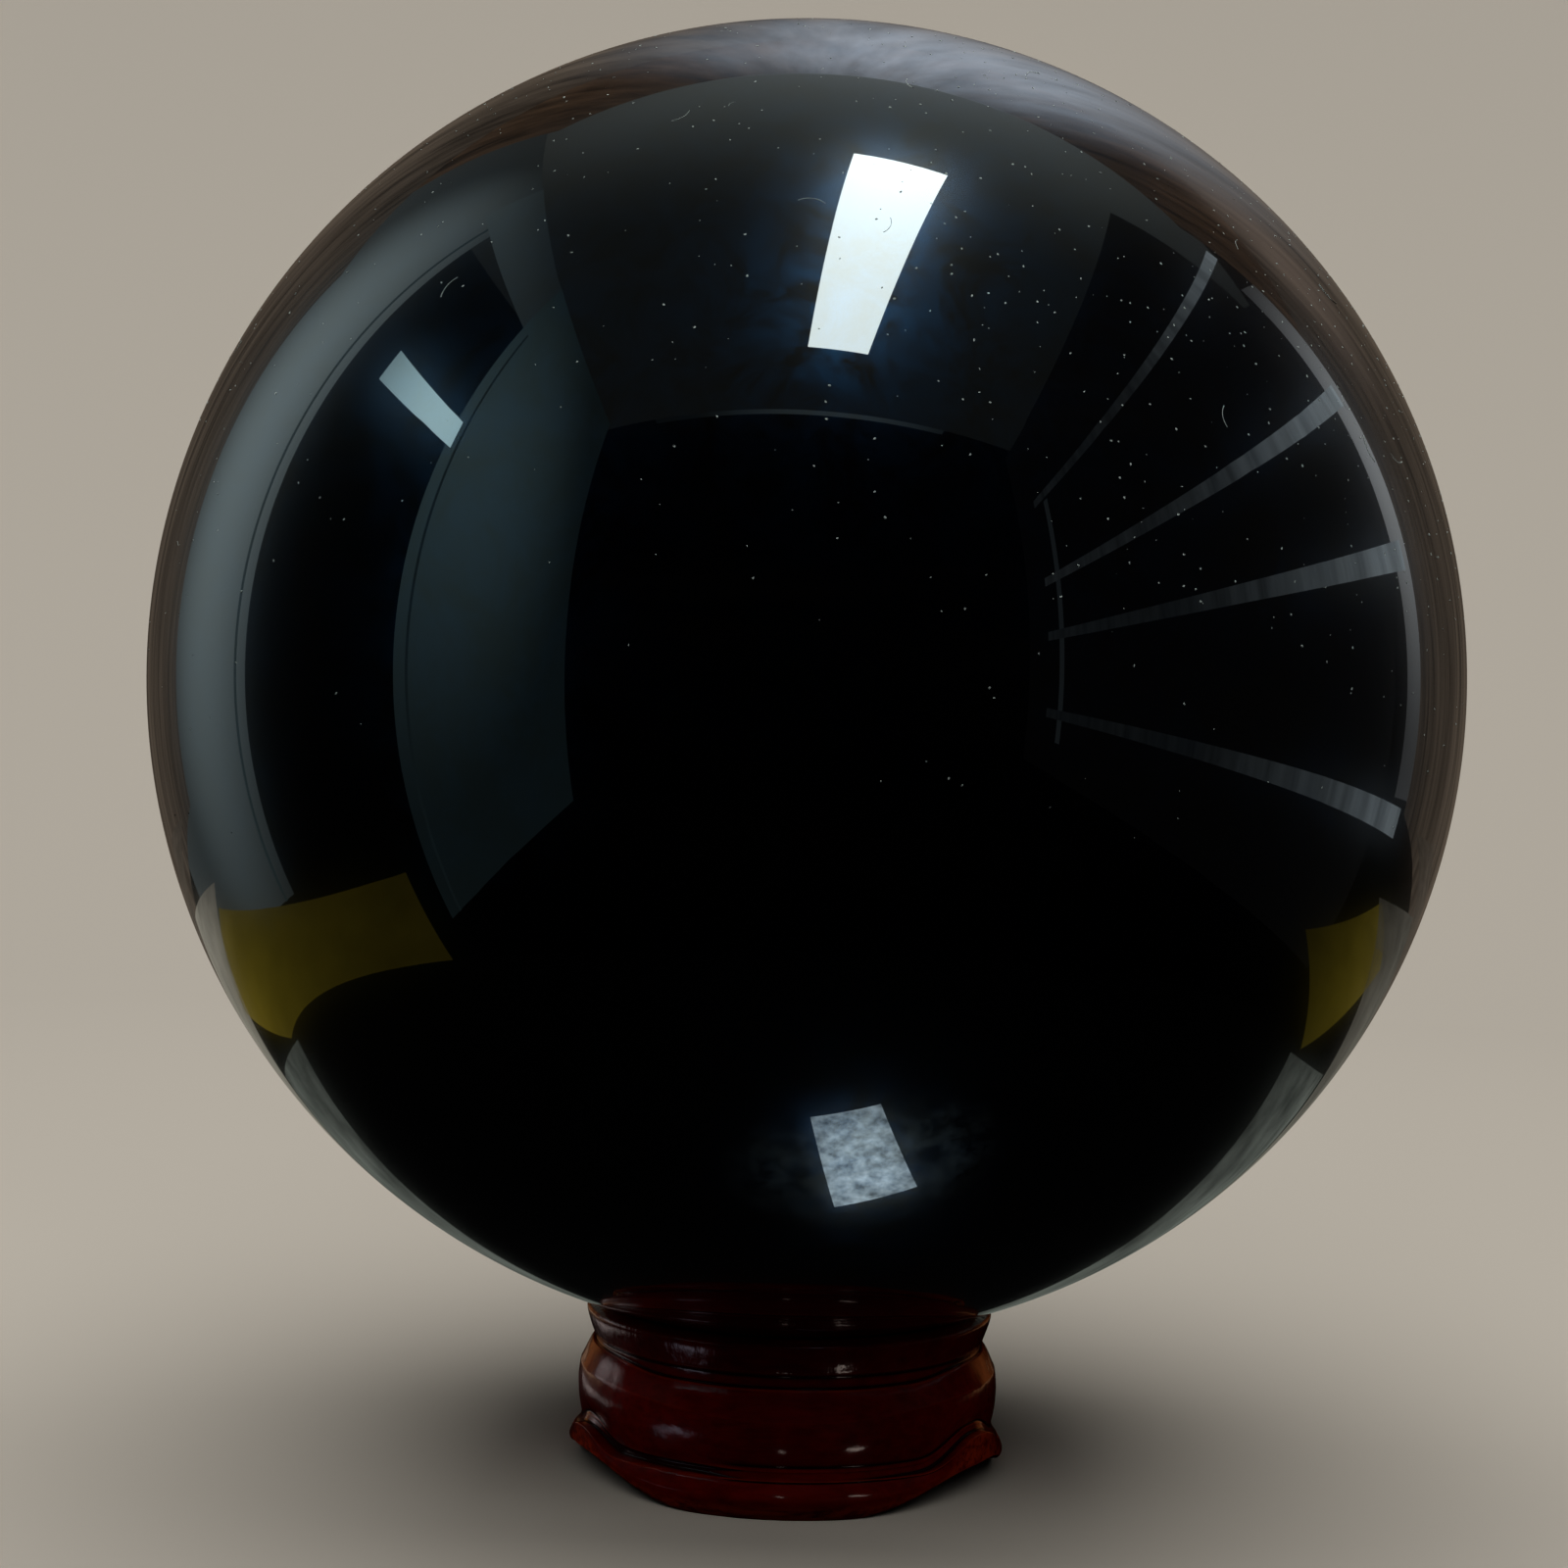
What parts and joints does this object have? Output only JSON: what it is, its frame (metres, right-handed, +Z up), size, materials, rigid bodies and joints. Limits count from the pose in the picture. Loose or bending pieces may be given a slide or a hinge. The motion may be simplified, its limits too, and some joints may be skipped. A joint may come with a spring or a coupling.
{
  "type": "obsidian sphere on a ring stand",
  "caption": "Polished black obsidian ball resting in the dished seat of a low carved wooden ring stand, lacquered dark red, with feet left standing between arches.",
  "frame": {"origin": "on the surface it stands on, under the middle of the ball", "axes": "+Z up through the ball's centre; -Y towards the first foot, which faces the camera in the picture; +X to the right"},
  "size_m": [0.15, 0.15, 0.166],
  "materials": {
    "obsidian": "polished",
    "red_lacquer": "gloss"
  },
  "bodies": {
    "root": {"obsidian_sphere": "obsidian", "wooden_stand": "red_lacquer"}
  },
  "joints": []
}
